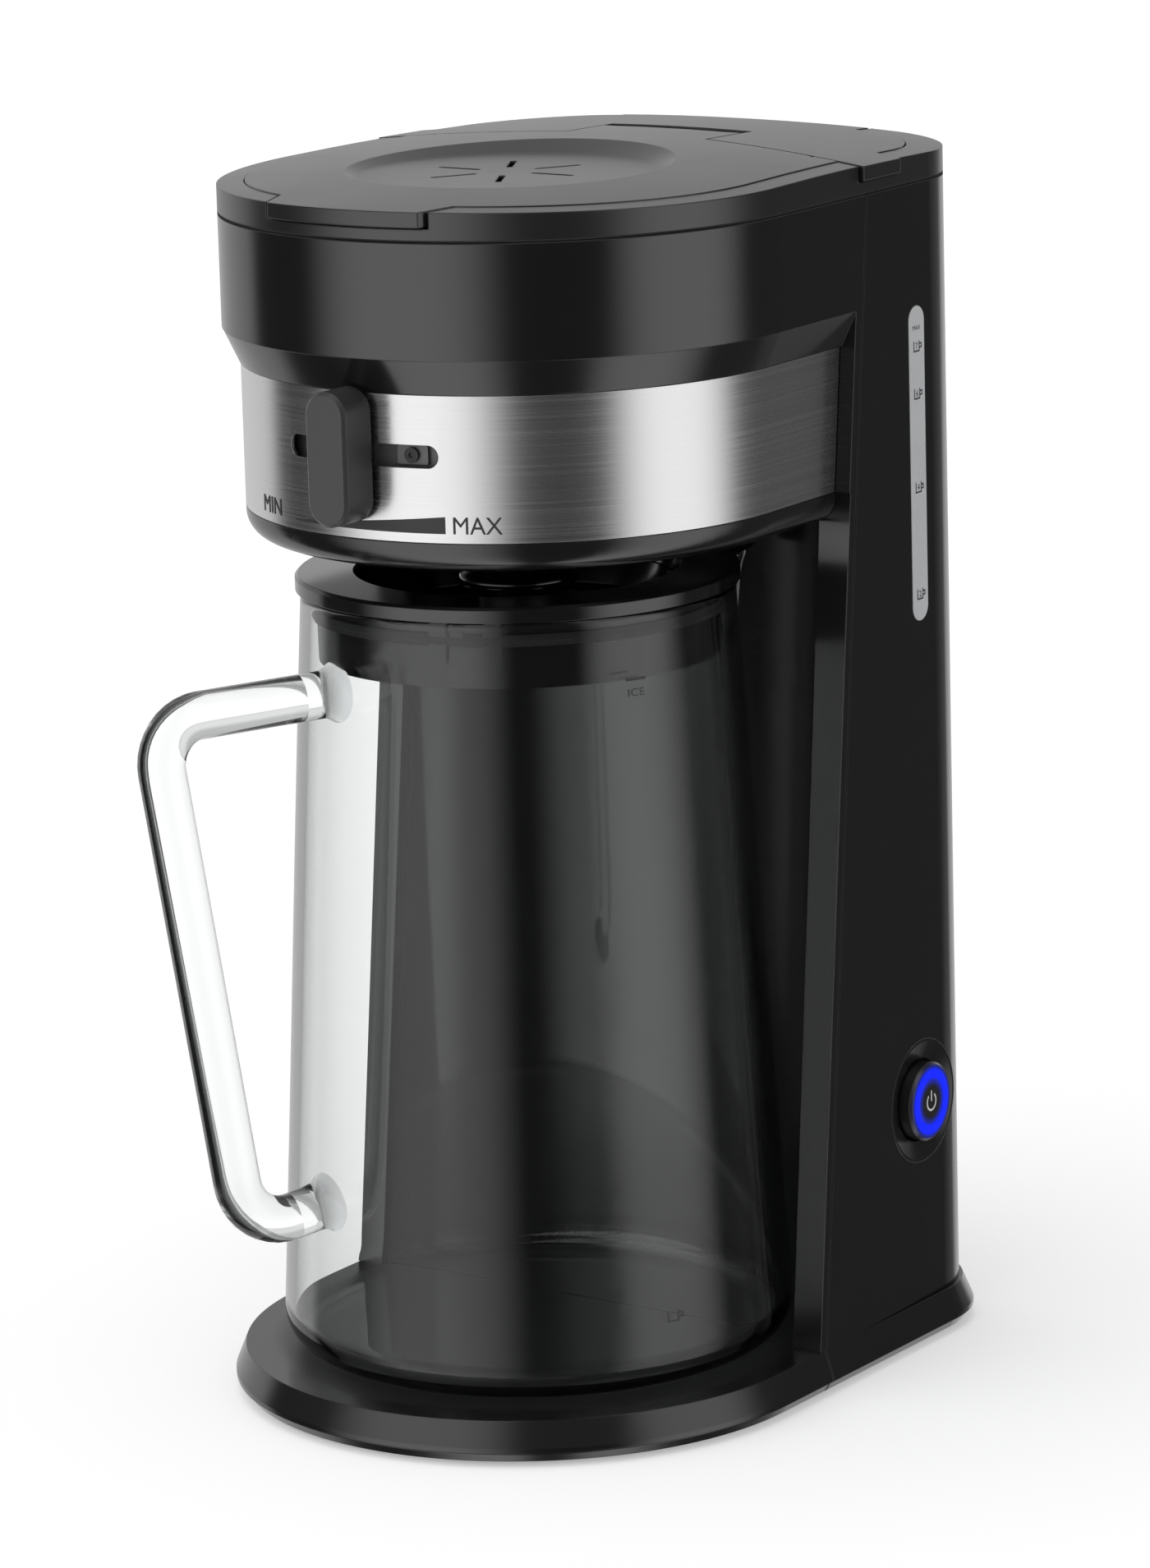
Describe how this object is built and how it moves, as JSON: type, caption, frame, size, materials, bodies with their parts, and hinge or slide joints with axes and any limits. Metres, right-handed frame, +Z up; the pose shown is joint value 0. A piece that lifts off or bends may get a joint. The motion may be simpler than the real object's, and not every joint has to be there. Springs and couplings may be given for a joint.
{
  "type": "cold brew coffee maker",
  "caption": "Countertop cold brew coffee maker with a round head, brushed band, strength slider, hinged lids, water gauge, power button and a clear glass pitcher.",
  "frame": {"origin": "on the table plane under the pitcher's and head's axis, at the centre of the rest face, on the middle foot", "axes": "+Z up, -Y towards the front where the pitcher slides out, +X to the side with the button and gauge"},
  "size_m": [0.1584, 0.2235, 0.3214],
  "materials": {
    "black_plastic": "satin",
    "gloss_black": "gloss",
    "steel": "brushed",
    "plain_steel": "satin",
    "clear_glass": "clear",
    "gauge_plastic": "translucent",
    "light_blue": "lit",
    "rubber_black": "matte",
    "seal": "matte",
    "tank_plastic": "translucent",
    "board_green": "satin"
  },
  "bodies": {
    "housing": {"base": "gloss_black", "bottom_cover": "black_plastic", "rubber_feet": "rubber_black", "base_screws": "plain_steel", "front_housing": "gloss_black", "rear_housing": "black_plastic", "steel_band": "steel", "head_underside": "gloss_black", "brew_chamber": "black_plastic", "top_rim": "black_plastic", "front_hinge_pin": "plain_steel", "rear_hinge_pin": "plain_steel", "gauge_window": "gauge_plastic", "button_bezel": "black_plastic", "button_switch": "black_plastic", "brew_basket": "black_plastic", "mesh_filter": "plain_steel", "drip_seal": "seal", "drip_spring": "plain_steel", "water_tank": "tank_plastic", "tank_outlet": "black_plastic", "suction_hose": "seal", "pump": "black_plastic", "outlet_pipe": "seal", "control_board": "board_green", "cord_gland": "rubber_black", "housing_screws": "plain_steel"},
    "front_lid": {"front_lid": "black_plastic", "shower_plate": "black_plastic"},
    "rear_lid": {"rear_lid": "black_plastic"},
    "selector": {"selector_knob": "black_plastic", "selector_carriage": "black_plastic", "selector_screw": "black_plastic"},
    "power_button": {"power_button": "black_plastic", "light_ring": "light_blue"},
    "drip_valve": {"drip_valve": "black_plastic"},
    "pitcher": {"pitcher_glass": "clear_glass", "pitcher_handle": "clear_glass", "pitcher_lid": "gloss_black", "pitcher_seal": "rubber_black", "pitcher_dome": "gloss_black"}
  },
  "joints": [
    {"name": "front_lid_hinge", "type": "hinge", "parent": "housing", "child": "front_lid", "pos_m": [0, 0.0744, 0.3157], "axis": [-1, 0, 0], "range_deg": [0, 85]},
    {"name": "rear_lid_hinge", "type": "hinge", "parent": "housing", "child": "rear_lid", "pos_m": [0, 0.1072, 0.3162], "axis": [-1, 0, 0], "range_deg": [0, 75]},
    {"name": "selector_turn", "type": "hinge", "parent": "housing", "child": "selector", "pos_m": [0, 0.0055, 0.2565], "axis": [0, 0, 1], "range_deg": [-15, 15]},
    {"name": "power_button_press", "type": "slide", "parent": "housing", "child": "power_button", "axis": [-0.9991, -0.0419, 0], "range_m": [0, 0.002], "stiffness_N_per_m": 400},
    {"name": "drip_valve_lift", "type": "slide", "parent": "housing", "child": "drip_valve", "axis": [0, 0, 1], "range_m": [0, 0.003], "stiffness_N_per_m": 100, "deforming": ["drip_spring"]},
    {"name": "pitcher_slide", "type": "slide", "parent": "housing", "child": "pitcher", "axis": [0, -1, 0], "range_m": [0, 0.23]}
  ]
}
